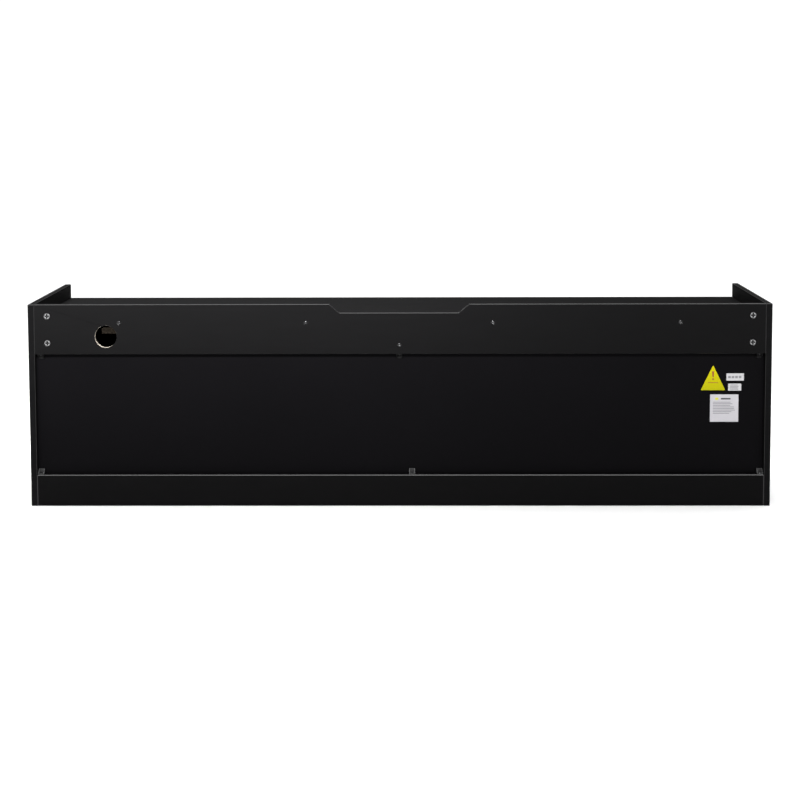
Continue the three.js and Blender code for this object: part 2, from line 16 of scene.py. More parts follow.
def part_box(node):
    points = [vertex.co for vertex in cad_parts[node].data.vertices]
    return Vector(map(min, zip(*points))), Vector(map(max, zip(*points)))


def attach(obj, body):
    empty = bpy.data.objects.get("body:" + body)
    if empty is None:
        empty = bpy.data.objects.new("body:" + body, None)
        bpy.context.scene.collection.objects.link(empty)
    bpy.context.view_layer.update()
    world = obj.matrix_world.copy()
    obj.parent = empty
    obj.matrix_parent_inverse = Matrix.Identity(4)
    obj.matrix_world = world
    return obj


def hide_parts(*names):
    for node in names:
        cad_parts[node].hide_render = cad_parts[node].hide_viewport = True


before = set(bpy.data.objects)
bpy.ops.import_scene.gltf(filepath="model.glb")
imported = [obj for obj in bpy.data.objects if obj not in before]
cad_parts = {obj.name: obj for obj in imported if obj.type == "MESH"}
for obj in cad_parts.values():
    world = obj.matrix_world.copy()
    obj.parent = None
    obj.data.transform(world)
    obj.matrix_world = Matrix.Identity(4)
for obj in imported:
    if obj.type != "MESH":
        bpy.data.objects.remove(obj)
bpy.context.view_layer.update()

TURN = 2 * math.pi
SIDES = {"left": -1, "right": 1}  # seen from the front, as a sign of X

# -------- camera and light, as numbers
CAMERA_PLACE = (-0.0429, 3.8436, 0.9876)
CAMERA_TURN = (85.71, 0.176, -179.401)  # degrees about X, Y and Z
CAMERA_LENS = 69.19
CAMERA_SHIFT = (-0.0006, -0.2369)

BACKDROP = 1.1  # strength of the white world as the camera sees it
WORLD_GLOW = 0.1  # strength of the world as light
TOP_SUN = {"strength": 3.7, "angle": 50}  # it shines straight down; angle across in degrees
PANELS = {  # place, target, power, (width, height), spread in degrees
    "rear_key": ((0.9, 1.3, 1.15), (0.9, 0.2, 0.7), 13.5, (2.2, 0.25), 55),
    "rear_fill": ((-0.2, 1.3, 1.15), (-0.2, 0.2, 0.62), 11, (3.0, 0.25), 60),
    "front_panel": ((0.9, -1.9, 2.9), (0.0, -0.2, 0.2), 36, (2.4, 1.2), 150),
}

# -------- places taken from the CAD
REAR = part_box("rear_top_rail")[1].y
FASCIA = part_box("fascia_strip")
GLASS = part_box("front_glass")
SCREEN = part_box("flame_screen")
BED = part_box("ember_bed")
CABLE_HOLE = {"x": 0.7035, "z": 0.4125, "radius": 0.0265}
RAIL_SCREWS = [(-0.671, 0.446), (-0.2235, 0.446), (0.2235, 0.446), (0.671, 0.446), (0.0, 0.392)]

# -------- sizes of the drawn details
PRINT_LIFT = 0.00012  # how far a printed mark stands off its surface
PRINT_ROOT = 0.00005  # and how far it reaches into it
EASED = {  # width of the chamfer or rounding on a piece's edges
    "board": 0.0008, "rear_plinth": 0.0015, "cam": 0.0009, "clip": 0.0005, "door_glass": 0.0008,
    "door_metal": 0.0007, "fascia": 0.0005, "louvre": 0.0003, "front_glass": 0.0006,
    "button": 0.0006, "display": 0.0004,
}
SCREWS = {  # radius and height of the head, and sides of its mesh
    "rail": (0.0045, 0.0024, 48), "clip": (0.0034, 0.0014, 40), "door": (0.0023, 0.0005, 32),
    "fascia": (0.003, 0.0009, 40),
}
RAIL_SCREW_SUNK = 0.0006
CLIP_SCREW = {"from_front": 0.0072, "from_end": 0.0025}
CLAMP_SCREW = 0.0205  # from the outer end of a hinge clamp
HANDLE_SCREW = {"from_edge": 0.005, "from_middle": 0.018}
FASCIA_SCREW = {"from_end": 0.008, "from_edge": 0.007, "lift": 0.0002}

# The borders' window is measured from the glass on the doors, and from the print on the fire.
# The film is where the print starts and ends behind the glass.
DOOR_BORDER = {"margin": 0.0012, "sides": 0.078, "top": 0.0585, "bottom": 0.0585,
               "corner": 0.006, "film": (0.00005, 0.0002)}
FIRE_BORDER = {"margin": 0.001, "sides": 0.034, "top": 0.012, "bottom": 0.02,
               "film": (0.0001, 0.0003)}

# -------- display and buttons, as numbers
# The display's front and back are depths behind the fascia's face.
DISPLAY = {"x": (0.2885, 0.3275), "z": (0.3185, 0.3335), "front": 0.0004, "back": 0.0019}
DIGIT = {"tall": 0.0085, "wide": 0.0045, "bar": 0.0009, "foot": 0.3218,
         "lift": 0.00015, "root": 0.0001}
SEGMENTS = {  # of a seven-segment digit, as (across, up, is it level)
    "top": (0.5, 1.0, True), "middle": (0.5, 0.5, True), "bottom": (0.5, 0.0, True),
    "upper_left": (0.0, 0.75, False), "upper_right": (1.0, 0.75, False),
    "lower_left": (0.0, 0.25, False), "lower_right": (1.0, 0.25, False),
}
TEMPERATURE = [  # the middle of each digit, and its lit segments
    (0.3035, ["top", "upper_right", "middle", "lower_left", "bottom"]),
    (0.3105, ["upper_right", "lower_right"]),
]
STROKE = {"half_width": 0.000192, "overlap": 0.00012}
POWER_SIGN = {"radius": 0.0021, "gap": 35, "steps": 14, "bar": (0.0006, 0.0027)}
FLAME_SIGN = [
    (0, -0.0022), (-0.0016, -0.0012), (-0.0013, 0.0006), (-0.0002, 0.0024),
    (0.0002, 0.0008), (0.0012, 0.0004), (0.0016, -0.0011),
]
HEAT_SIGN = {"places": (-0.0014, 0.0, 0.0014), "sway": 0.0004, "foot": -0.0021, "rise": 0.0007}
STATUS_LIGHT = {"x": 0.336, "z": 0.326, "sunk": 0.0001}
STATUS_LENS = [  # rings of the lens, as (radius, height)
    (0.0011, -0.001), (0.0011, 0.0001), (0.0008, 0.0005), (0.0003, 0.00065),
]

# -------- logs and coals, as numbers
LOGS = [  # length, thick and thin radius, middle, turn and lean in degrees
    (0.33, 0.017, 0.014, (-0.235, -0.130, 0.121), 4, 0),
    (0.30, 0.019, 0.015, (0.020, -0.128, 0.122), -5, 0),
    (0.31, 0.016, 0.013, (0.255, -0.130, 0.120), 3, 0),
    (0.19, 0.013, 0.010, (-0.300, -0.147, 0.136), 17, 8),
    (0.21, 0.014, 0.011, (-0.120, -0.146, 0.140), -15, -7),
    (0.20, 0.013, 0.011, (0.095, -0.147, 0.139), 16, 7),
    (0.18, 0.012, 0.010, (0.300, -0.147, 0.135), -18, -8),
]
LOG_AROUND = 44
LOG_STEPS = 64
RAGGED_END = 0.0018
CUT_RINGS = ((0.82, 0.0004), (0.45, 0.0001), (0.12, 0.0007))  # share of the rim, depth
CUT_ROUGH = 0.0008
KNOTS = 3
COALS = {"full": 420, "quick": 210, "radius": (0.0045, 0.0095), "from_end": 0.012,
         "from_glass": 0.008, "heap": 0.006}

# -------- colours of the boards
BLACK = (0.0034, 0.0033, 0.0035)
BAND = (0.0036, 0.0035, 0.0037)
RAW_BOARD = (0.66, 0.6, 0.51)
BOARD_GLOSS = 0.04
LEVEL_GLOSS = 0.03
ARRIS_GLOSS = 0.42
FLAT_FACE_ROUGH = (0.58, 0.72)
UPRIGHT_FACE_ROUGH = (0.84, 0.96)


def make_camera():
    data = bpy.data.cameras.new("camera")
    data.lens = CAMERA_LENS
    data.sensor_width = 36
    data.shift_x, data.shift_y = CAMERA_SHIFT
    data.clip_end = 200
    camera = bpy.data.objects.new("camera", data)
    camera.location = CAMERA_PLACE
    camera.rotation_euler = Euler([math.radians(a) for a in CAMERA_TURN])
    bpy.context.collection.objects.link(camera)
    bpy.context.scene.camera = camera


# -------- node materials
class Finish:
    """A material with one Principled shader, and short ways to add the nodes that vary it."""

    def __init__(self, name, **values):
        self.material = bpy.data.materials.new(name)
        self.material.use_nodes = True
        self.nodes = self.material.node_tree.nodes
        self.links = self.material.node_tree.links
        self.shader = self.nodes["Principled BSDF"]
        for key, value in values.items():
            self.shader.inputs[key.replace("_", " ")].default_value = value
        self.place = self.nodes.new("ShaderNodeTexCoord").outputs["Object"]

    def put(self, socket, value):
        if isinstance(value, bpy.types.NodeSocket):
            self.links.new(value, socket)
        elif isinstance(value, (tuple, list)) and len(value) == 3 and socket.type == "RGBA":
            socket.default_value = (*value, 1)
        else:
            socket.default_value = value

    def set(self, key, value):
        self.put(self.shader.inputs[key], value)
        return self

    def colour(self, factor, a, b):
        """Base colour, blended from a to b."""
        self.set("Base Color", self.blend(factor, a, b))

    def roughness(self, noise, low, high):
        """Roughness that follows a noise, whose values mostly lie between 0.3 and 0.7."""
        self.set("Roughness", self.remap(noise, 0.3, 0.7, low, high))

    def glow(self, colour, strength):
        """Emission of a colour that may vary, at one strength."""
        self.set("Emission Color", colour)
        self.shader.inputs["Emission Strength"].default_value = strength

    def stretched(self, scale):
        """The place on the piece, scaled by one number or by three."""
        node = self.nodes.new("ShaderNodeMapping")
        self.put(node.inputs["Vector"], self.place)
        each_way = scale if isinstance(scale, (tuple, list)) else (scale,) * 3
        node.inputs["Scale"].default_value = each_way
        return node.outputs[0]

    def noise(self, scale, detail=3.0, rough=0.55, warp=0.0):
        """Noise at a scale, or at a point given as a socket."""
        node = self.nodes.new("ShaderNodeTexNoise")
        given = isinstance(scale, bpy.types.NodeSocket)
        self.put(node.inputs["Vector"], scale if given else self.stretched(scale))
        node.inputs["Scale"].default_value = 1
        node.inputs["Detail"].default_value = detail
        node.inputs["Roughness"].default_value = rough
        node.inputs["Distortion"].default_value = warp
        return node.outputs["Fac"]

    def cells(self, scale, feature="F1", out="Distance", randomness=1.0):
        node = self.nodes.new("ShaderNodeTexVoronoi")
        node.feature = feature
        self.put(node.inputs["Vector"], self.stretched(scale))
        node.inputs["Scale"].default_value = 1
        node.inputs["Randomness"].default_value = randomness
        return node.outputs[out]

    def math(self, operation, a, b=0.0, clamp=False):
        node = self.nodes.new("ShaderNodeMath")
        node.operation = operation
        node.use_clamp = clamp
        for socket, value in zip(node.inputs, (a, b)):
            self.put(socket, value)
        return node.outputs[0]

    def remap(self, value, low, high, to_low=0.0, to_high=1.0, smooth=False):
        node = self.nodes.new("ShaderNodeMapRange")
        node.interpolation_type = "SMOOTHSTEP" if smooth else "LINEAR"
        for socket, item in zip(node.inputs, (value, low, high, to_low, to_high)):
            self.put(socket, item)
        return node.outputs[0]

    def blend(self, factor, a, b):
        node = self.nodes.new("ShaderNodeMix")
        node.data_type = "RGBA"
        for key, value in (("Factor_Float", factor), ("A_Color", a), ("B_Color", b)):
            self.put(next(s for s in node.inputs if s.identifier == key), value)
        return next(s for s in node.outputs if s.identifier == "Result_Color")

    def ramp(self, factor, *stops):
        node = self.nodes.new("ShaderNodeValToRGB")
        self.put(node.inputs[0], factor)
        marks = node.color_ramp.elements
        while len(marks) < len(stops):
            marks.new(0.5)
        for mark, (at, colour) in zip(marks, stops):
            mark.position = at
            mark.color = (*colour, 1)
        return node.outputs[0]

    def split(self, vector=None):
        """X, Y and Z of a vector, or of the place on the piece."""
        node = self.nodes.new("ShaderNodeSeparateXYZ")
        self.put(node.inputs[0], vector or self.place)
        return node.outputs

    def joined(self, x, y, z):
        node = self.nodes.new("ShaderNodeCombineXYZ")
        for socket, value in zip(node.inputs, (x, y, z)):
            self.put(socket, value)
        return node.outputs[0]

    def facing(self):
        """X, Y and Z of the way the surface faces."""
        return self.split(self.nodes.new("ShaderNodeNewGeometry").outputs["Normal"])

    def distance(self, a, b):
        """How far two numbers, taken as a flat offset, reach from zero."""
        squares = [self.math("POWER", side, 2) for side in (a, b)]
        return self.math("SQRT", self.math("ADD", *squares))

    def bumps(self, *layers):
        """Layers of (height, depth in metres, strength), each on top of the one before."""
        normal = None
        for height, depth, strength in layers:
            node = self.nodes.new("ShaderNodeBump")
            node.inputs["Distance"].default_value = depth
            node.inputs["Strength"].default_value = strength
            self.put(node.inputs["Height"], height)
            if normal is not None:
                self.put(node.inputs["Normal"], normal)
            normal = node.outputs[0]
        self.put(self.shader.inputs["Normal"], normal)
        return self


def shade(colour, factor):
    return tuple(min(1.0, c * factor) for c in colour)


def varied(name, colour, rough, patch=9.0, grain=700.0, spread=0.2,
           bump=0.00006, bump_strength=0.4, **values):
    """A finish with soft patches of colour, fine grain in its gloss, and a grained surface."""
    f = Finish(name, **values)
    patches = f.noise(patch, 4)
    fine = f.noise(grain, 2)
    tone = f.blend(patches, shade(colour, 1 - spread), shade(colour, 1 + spread))
    speck = f.remap(fine, 0.35, 0.65, 0, 0.35)
    f.colour(speck, tone, shade(colour, 1 + 2 * spread))
    mixed = f.math("ADD", patches, fine)
    f.set("Roughness", f.remap(mixed, 0.7, 1.3, rough * 0.86, min(1, rough * 1.14)))
    return f.bumps((fine, bump, bump_strength)).material


def plastic(name, colour, rough, **values):
    return varied(name, colour, rough, patch=40, grain=2600, spread=0.14,
                  bump=0.00004, bump_strength=0.3, **values)


def paper(name, colour, spread):
    return varied(name, colour, 0.45, patch=50, grain=1500, spread=spread)


def border_print(name, colour):
    """Black print on the back of a glass pane. The glass, not the print, has the shine."""
    return varied(name, colour, 0.3, patch=14, grain=1400, spread=0.2, Specular_IOR_Level=0.08)


def board_finish(name, thin_axis, raw_core=False, face_rough=FLAT_FACE_ROUGH, gloss=BOARD_GLOSS):
    """Black laminate on a board's two faces, and a smoother band on its thin edges."""
    f = Finish(name, Specular_IOR_Level=gloss)
    patches = f.noise(5, 5)
    pores = f.noise(1100, 2)
    streaks = f.noise((14, 60, 60) if thin_axis != 0 else (60, 14, 60), 4)
    scuffs = f.remap(f.noise((35, 90, 240), 6, 0.7, 1.5), 0.68, 0.8, 0, 0.5)
    face = f.blend(patches, shade(BLACK, 0.86), shade(BLACK, 1.14))
    face = f.blend(f.remap(streaks, 0.4, 0.7, 0, 0.2), face, shade(BLACK, 1.5))
    face = f.blend(f.math("MULTIPLY", scuffs, 0.4), face, shade(BLACK, 2.2))
    sideways = f.math("ABSOLUTE", f.facing()[thin_axis])
    edge = f.remap(sideways, 0.25, 0.9, 1, 0)
    worn = f.remap(f.noise(45, 6, 0.7), 0.5, 0.75, 0, 1)
    band = f.blend(worn, BAND, shade(BAND, 1.5))
    colour = f.blend(edge, face, band)
    grain = f.math("ADD", patches, pores)
    rubbed = f.remap(worn, 0, 1, 0.46, 0.36)
    band_rough = f.math("SUBTRACT", f.remap(grain, 0.7, 1.3, *FLAT_FACE_ROUGH), rubbed)
    rough = f.remap(edge, 0, 1, f.remap(grain, 0.7, 1.3, *face_rough), band_rough)
    if raw_core:
        x, y, z = f.split()
        away = f.distance(
            f.math("SUBTRACT", x, CABLE_HOLE["x"]), f.math("SUBTRACT", z, CABLE_HOLE["z"]),
        )
        rim = CABLE_HOLE["radius"]
        inside = f.remap(away, rim + 0.0001, rim + 0.0006, 1, 0)
        # Painted shade: from 6.5 mm to 9.5 mm behind the rear face, the hole's raw core goes nearly
        # black.
        bore_shade = f.remap(y, REAR - 0.0095, REAR - 0.0065, 1, 0)
        fibres_and_shade = f.blend(f.noise(900, 5, 0.7), shade(RAW_BOARD, 0.62), shade(RAW_BOARD, 1.15))
        fibres_and_shade = f.blend(bore_shade, fibres_and_shade, shade(RAW_BOARD, 0.06))
        colour = f.blend(inside, colour, fibres_and_shade)
        rough = f.math("MAXIMUM", rough, f.math("MULTIPLY", inside, 0.9))
    f.set("Base Color", colour).set("Roughness", rough)
    return f.bumps((f.noise(420, 3), 0.00008, 0.25), (pores, 0.00003, 0.35)).material


def arris_finish():
    """The chamfer of an edge band: smoother than the faces, and rubbed lighter in places."""
    f = Finish("laminate_arris", Specular_IOR_Level=ARRIS_GLOSS)
    worn = f.remap(f.noise(38, 6, 0.7), 0.52, 0.72)
    f.colour(worn, shade(BLACK, 1.6), shade(BLACK, 3.5))
    f.roughness(f.noise(420, 4), 0.27, 0.33)
    return f.bumps((f.noise(900, 3), 0.00001, 0.2)).material


def brushed(name, colour, rough, along):
    """Metal with fine lines along one axis."""
    f = Finish(name, Metallic=1.0)
    scale = [1600, 1600, 1600]
    scale[along] = 25
    lines = f.noise(tuple(scale), 3, 0.7)
    patches = f.noise(30, 4)
    f.colour(patches, shade(colour, 0.82), shade(colour, 1.1))
    mixed = f.math("ADD", lines, patches)
    f.set("Roughness", f.remap(mixed, 0.6, 1.4, rough * 0.7, rough * 1.35))
    return f.bumps((lines, 0.00004, 0.35)).material


def powder_coat(name, colour):
    f = Finish(name, Specular_IOR_Level=0.2)
    peel = f.noise(520, 3, 0.6)
    patches = f.noise(12, 4)
    f.colour(patches, shade(colour, 0.8), shade(colour, 1.25))
    f.roughness(peel, 0.38, 0.56)
    return f.bumps((peel, 0.00012, 0.4), (f.noise(2400, 2), 0.00003, 0.3)).material


def zinc_plate(name, shade_below=None):
    """Zinc-plated steel. Below the Y given as its second argument lies the bottom of a recess,
    which gets painted shade.
    """
    f = Finish(name, Metallic=1.0)
    grain = f.noise(1500, 5, 0.7)
    tarnish = f.remap(f.noise(240, 5, 0.7), 0.45, 0.7)
    colour = f.blend(tarnish, (0.38, 0.38, 0.385), (0.2, 0.2, 0.205))
    if shade_below is not None:
        # Painted shade: the colour goes nearly black below that Y, at the bottom of the recess.
        sunk = f.remap(f.split()[1], shade_below - 0.0006, shade_below - 0.0001, 1, 0)
        colour = f.blend(sunk, colour, (0.02, 0.02, 0.021))
    f.set("Base Color", colour)
    f.roughness(grain, 0.3, 0.5)
    return f.bumps((grain, 0.00012, 0.5)).material


def galvanised(name):
    """Bare zinc-coated sheet, with its crystal pattern."""
    f = Finish(name, Metallic=1.0)
    grey = f.split(f.cells(140, out="Color"))[0]
    f.colour(grey, (0.42, 0.44, 0.46), (0.66, 0.68, 0.7))
    mixed = f.math("ADD", grey, f.noise(600, 3))
    f.set("Roughness", f.remap(mixed, 0.3, 1.5, 0.3, 0.55))
    return f.bumps((grey, 0.00003, 0.3)).material


def smoked_glass():
    """Its index is lower than real glass has, so that it doesn't mirror the white floor."""
    f = Finish("smoked_glass", Transmission_Weight=1.0, IOR=1.2)
    smear = f.noise((9, 9, 22), 5, 0.65, 1.2)
    f.colour(smear, (0.016, 0.013, 0.01), (0.019, 0.0155, 0.012))
    f.set("Roughness", f.remap(smear, 0.55, 0.8, 0.0, 0.03))
    return f.material


def clear_glass():
    """The firebox's glass, with a coating that keeps its mirror image weak."""
    f = Finish("clear_glass", Transmission_Weight=1.0, IOR=1.14)
    smear = f.noise((7, 7, 18), 5, 0.65, 1.2)
    f.colour(smear, (0.8, 0.82, 0.82), (0.86, 0.87, 0.87))
    f.set("Roughness", f.remap(smear, 0.6, 0.85, 0.0, 0.015))
    return f.material


def circuit_board():
    """Green lacquer over copper tracks."""
    f = Finish("circuit_board", Specular_IOR_Level=0.5)
    tracks = f.cells(420, "DISTANCE_TO_EDGE", randomness=0.6)
    line = f.remap(tracks, 0.05, 0.09, 1, 0)
    lacquer = f.blend(f.noise(60, 4), (0.006, 0.05, 0.022), (0.01, 0.085, 0.035))
    f.colour(line, lacquer, (0.03, 0.16, 0.06))
    f.roughness(f.noise(700, 2), 0.25, 0.42)
    return f.bumps((line, 0.00004, 0.6)).material


def heating_ceramic():
    """A ribbed heating element."""
    rib_pitch = 0.0021
    f = Finish("heating_ceramic")
    wave = f.math("SINE", f.math("MULTIPLY", f.split()[2], TURN / rib_pitch))
    ribs_and_groove_shade = f.remap(wave, -0.2, 0.2, 0, 1)
    # Painted shade: the grooves between the ribs are coloured darker than the ribs.
    f.colour(ribs_and_groove_shade, (0.2, 0.19, 0.17), (0.6, 0.58, 0.52))
    f.roughness(f.noise(900, 3), 0.5, 0.75)
    return f.bumps((ribs_and_groove_shade, 0.0004, 0.7)).material


def flame_picture():
    """The dark diffusing screen, with tongues of flame on the face that looks forward."""
    f = Finish("flame_screen", Specular_IOR_Level=0.08)
    x, _, z = f.split()
    root = BED[1].z - 0.012
    rise = f.math("DIVIDE", f.math("SUBTRACT", z, root), SCREEN[1].z - root)

    def streaks(across, x_scale, z_scale, depth, detail, rough, warp=0.0):
        across = f.math("MULTIPLY", across, x_scale)
        return f.noise(f.joined(across, depth, f.math("MULTIPLY", z, z_scale)), detail, rough, warp)

    sway = f.math("SUBTRACT", streaks(x, 15, 13, 3.1, 3, 0.5), 0.5)
    bent = f.math("ADD", x, f.math("MULTIPLY", sway, f.remap(rise, 0, 1, 0.004, 0.075)))
    ragged = streaks(bent, 42, 9, 0.4, 5, 0.62, 0.4)
    groups = streaks(bent, 7, 1.5, 7.7, 2, 0.5)
    height = f.math(
        "ADD", f.remap(groups, 0.32, 0.68, 0.36, 0.82), f.remap(ragged, 0.3, 0.7, -0.3, 0.3),
    )
    body = f.remap(f.math("SUBTRACT", height, rise), -0.05, 0.42, 0, 1, smooth=True)
    heat = f.math("MULTIPLY", body, f.remap(rise, 0.0, 0.95, 1.05, 0.5), clamp=True)
    heat = f.math("MULTIPLY", heat, f.math("LESS_THAN", f.facing()[1], -0.5))
    colour = f.ramp(
        heat, (0.0, (0, 0, 0)), (0.18, (0.22, 0.012, 0.0)), (0.4, (0.85, 0.11, 0.004)),
        (0.62, (1.0, 0.3, 0.02)), (0.82, (1.0, 0.56, 0.09)), (1.0, (1.0, 0.82, 0.36)),
    )
    f.colour(f.noise(60, 4), (0.006, 0.005, 0.005), (0.014, 0.012, 0.011))
    f.glow(colour, 3.2)
    f.roughness(f.noise(300, 3), 0.45, 0.6)
    return f.bumps((f.noise(900, 2), 0.00002, 0.2)).material


def coal_finish(name, strength, glowing_top_only=False):
    """Charred crust that glows in its cracks and hollows."""
    f = Finish(name)
    cracks = f.remap(f.cells(95, "DISTANCE_TO_EDGE"), 0.02, 0.14, 1, 0, smooth=True)
    hollows = f.remap(f.noise(160, 4), 0.5, 0.8, 0, 0.7)
    zones = f.remap(f.noise(26, 4, 0.6), 0.4, 0.62, 0.05, 1)
    heat = f.math("MULTIPLY", f.math("ADD", cracks, hollows), zones, clamp=True)
    if glowing_top_only:
        heat = f.math("MULTIPLY", heat, f.remap(f.facing()[2], 0.3, 0.7))
    ash = f.remap(f.noise(310, 6, 0.7), 0.52, 0.7)
    f.colour(ash, (0.014, 0.011, 0.01), (0.16, 0.145, 0.13))
    f.glow(f.ramp(
        heat, (0.05, (0, 0, 0)), (0.3, (0.42, 0.02, 0.0)),
        (0.65, (1.0, 0.17, 0.008)), (1.0, (1.0, 0.52, 0.1)),
    ), strength)
    f.set("Roughness", f.remap(ash, 0, 1, 0.72, 0.95))
    return f.bumps(
        (f.noise(130, 6, 0.7), 0.002, 0.6), (f.noise(700, 3), 0.0004, 0.5),
    ).material


def bark_finish():
    """Split bark along a log's X, charred in patches, with embers low in its cracks."""
    f = Finish("bark")
    ridges = f.noise((9, 70, 70), 6, 0.65, 0.5)
    plates = f.cells((16, 60, 60), "DISTANCE_TO_EDGE")
    crack = f.remap(plates, 0.015, 0.1, 1, 0, smooth=True)
    char = f.remap(f.noise(14, 5, 0.65), 0.42, 0.6)
    wood = f.ramp(
        ridges, (0.25, (0.02, 0.012, 0.008)), (0.5, (0.095, 0.052, 0.03)),
        (0.75, (0.21, 0.13, 0.08)),
    )
    ash = f.remap(f.noise(330, 5, 0.7), 0.55, 0.75)
    burnt = f.blend(ash, (0.008, 0.007, 0.0065), (0.13, 0.12, 0.11))
    f.colour(crack, f.blend(char, wood, burnt), (0.006, 0.004, 0.003))
    hot = f.math("MULTIPLY", f.math("MULTIPLY", crack, char), f.remap(f.noise(22, 3), 0.5, 0.66))
    f.glow(f.ramp(
        hot, (0.1, (0, 0, 0)), (0.6, (0.8, 0.09, 0.004)), (1.0, (1.0, 0.34, 0.04)),
    ), 2.2)
    f.roughness(ridges, 0.95, 0.74)
    return f.bumps((ridges, 0.003, 0.7), (f.math("SUBTRACT", 1.0, crack), 0.002, 0.6)).material


def cut_wood_finish():
    """End grain with rings round the log's own axis, darkened by fire towards the rim."""
    ring_pitch = 0.0022
    f = Finish("cut_wood")
    _, y, z = f.split()
    away = f.distance(y, z)
    wobble = f.math("MULTIPLY", f.noise(60, 3), 0.004)
    rings = f.math("SINE", f.math("MULTIPLY", f.math("ADD", away, wobble), TURN / ring_pitch))
    wood = f.blend(f.remap(rings, -0.8, 0.8), (0.12, 0.07, 0.036), (0.3, 0.195, 0.11))
    f.colour(f.remap(away, 0.006, 0.015), wood, (0.02, 0.014, 0.011))
    f.roughness(f.noise(600, 3), 0.75, 0.92)
    return f.bumps((rings, 0.0004, 0.5), (f.noise(500, 4), 0.0006, 0.4)).material


def lit(name, colour, strength):
    f = Finish(name)
    f.colour(f.noise(900, 2), shade(colour, 0.1), shade(colour, 0.16))
    f.glow(f.blend(f.noise(300, 2), shade(colour, 0.9), colour), strength)
    return f.material


# -------- meshes
def new_piece(name, mesh_maker, finishes, body="console", smooth=True):
    """A piece whose mesh mesh_maker fills in. With no body it isn't given a ride here."""
    mesh = bpy.data.meshes.new(name)
    bm = bmesh.new()
    mesh_maker(bm)
    bmesh.ops.recalc_face_normals(bm, faces=bm.faces)
    bm.to_mesh(mesh)
    bm.free()
    for face in mesh.polygons:
        face.use_smooth = smooth
    for item in finishes:
        mesh.materials.append(item)
    piece = bpy.data.objects.new(name, mesh)
    bpy.context.collection.objects.link(piece)
    if body:
        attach(piece, body)
    return piece


def bridge(bm, ring_a, ring_b):
    """Faces between two closed rings of as many points."""
    count = len(ring_a)
    return [
        bm.faces.new((ring_a[i], ring_a[(i + 1) % count], ring_b[(i + 1) % count], ring_b[i]))
        for i in range(count)
    ]


def plate(bm, outline, y0, y1):
    """A flat shape between two planes, from its outline in X and Z."""
    front = [bm.verts.new((x, y0, z)) for x, z in outline]
    back = [bm.verts.new((x, y1, z)) for x, z in outline]
    bm.faces.new(front)
    bm.faces.new(back[::-1])
    bridge(bm, front, back)


def turned(bm, rings, matrix, sides):
    """Closes a stack of (radius, height) rings into a solid. A radius may depend on the angle."""
    angles = [TURN * i / sides for i in range(sides)]
    loops = []
    for radius, height in rings:
        loop = []
        for a in angles:
            r = radius(a) if callable(radius) else radius
            loop.append(bm.verts.new(matrix @ Vector((r * math.cos(a), r * math.sin(a), height))))
        loops.append(loop)
    for low, high in zip(loops, loops[1:]):
        bridge(bm, low, high)
    bm.faces.new(loops[0][::-1])
    bm.faces.new(loops[-1])


def turned_piece(name, rings, matrix, sides, finish, body="console"):
    return new_piece(name, lambda bm: turned(bm, rings, matrix, sides), [finish], body)


def cross(long_arm, half_width):
    """The outline of a cross recess as a radius of the angle."""
    def radius(a):
        c, s = abs(math.cos(a)), abs(math.sin(a))
        near = min(half_width / max(s, 1e-6), half_width / max(c, 1e-6))
        return min(long_arm, near)
    return radius


def dome_rings(radius, height):
    """A round screw head with a wide cross recess."""
    arm = cross(radius * 0.62, radius * 0.24)
    return [
        (radius * 0.6, -height),
        (radius, 0.0),
        (radius * 0.97, height * 0.3),
        (radius * 0.87, height * 0.58),
        (radius * 0.73, height * 0.8),
        (radius * 0.64, height * 0.9),
        (arm, height * 0.94),
        (arm, height * 0.7),
        (cross(radius * 0.4, radius * 0.18), -height * 0.6),
    ]


def screw_rings(radius, height):
    """A low domed screw head with a narrow cross recess."""
    arm = cross(radius * 0.6, radius * 0.13)
    return [
        (radius * 0.55, -height * 1.2),
        (radius * 0.98, -height * 0.15),
        (radius, 0.0),
        (radius * 0.97, height * 0.35),
        (radius * 0.82, height * 0.8),
        (radius * 0.66, height),
        (arm, height * 0.97),
        (arm, height * 0.75),
        (cross(radius * 0.33, radius * 0.1), -height * 0.9),
    ]


def aimed(place, direction, spin=0.0):
    """A matrix that stands a turned piece at place, with its axis along direction."""
    turn = Vector(direction).to_track_quat("Z", "Y").to_matrix().to_4x4()
    return Matrix.Translation(place) @ turn @ Matrix.Rotation(spin, 4, "Z")


def screw(kind, name, place, direction, spin, finish, body="console", rings=screw_rings):
    """A screw head of one of the kinds in SCREWS, standing at place."""
    radius, height, sides = SCREWS[kind]
    turned_piece(name, rings(radius, height), aimed(place, direction, spin), sides, finish, body)


def slab(bm, low, high, soft=0.0):
    """A box between two corners, with its edges eased by soft."""
    low, high = Vector(low), Vector(high)
    made = bmesh.ops.create_cube(bm, size=1)["verts"]
    for vert in made:
        vert.co = Vector([low[i] + (vert.co[i] + 0.5) * (high[i] - low[i]) for i in range(3)])
    if soft:
        edges = list(dict.fromkeys(edge for vert in made for edge in vert.link_edges))
        bmesh.ops.bevel(bm, geom=edges, offset=soft, segments=2, affect="EDGES")


def ease(node, width, segments=2, arris=None):
    """Softens a CAD node's edges with modifiers. The eased faces can have their own finish."""
    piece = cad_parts[node]
    weld = piece.modifiers.new("weld", "WELD")
    weld.merge_threshold = 0.00001
    bevel = piece.modifiers.new("bevel", "BEVEL")
    bevel.width = width
    bevel.segments = segments
    bevel.limit_method = "ANGLE"
    bevel.angle_limit = math.radians(30)
    if arris:
        piece.data.materials.append(arris)
        bevel.material = 1
    for face in piece.data.polygons:
        face.use_smooth = False


def dress(finish, *nodes):
    for node in nodes:
        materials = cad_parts[node].data.materials
        materials.clear()
        materials.append(finish)


